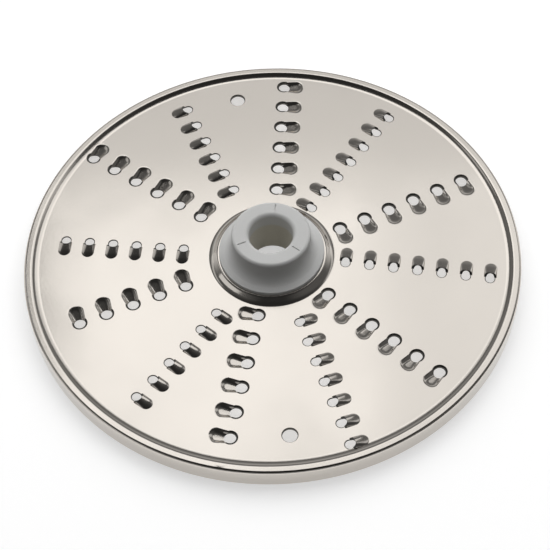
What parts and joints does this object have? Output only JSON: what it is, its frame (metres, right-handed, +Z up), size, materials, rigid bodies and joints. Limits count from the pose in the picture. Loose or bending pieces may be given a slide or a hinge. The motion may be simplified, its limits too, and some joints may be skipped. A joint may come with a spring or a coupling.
{
  "type": "food processor grating disc",
  "caption": "Round pressed steel grating disc with radial rows of raised and sunk teeth, a down-turned rim and a plastic drive hub with a plain bore.",
  "frame": {"origin": "on the bore's axis, on the surface that the skirt's foot stands on", "axes": "+Z up along the bore's axis, towards the hub's tall side; +Y away from the viewer of the picture; +X to the viewer's right"},
  "size_m": [0.17, 0.17, 0.019],
  "materials": {
    "polished_steel": "polished stainless sheet with a faint warm cast",
    "grey_plastic": "matte moulded plastic"
  },
  "bodies": {
    "root": {"grating_plate": "polished_steel", "drive_hub": "grey_plastic"}
  },
  "joints": []
}
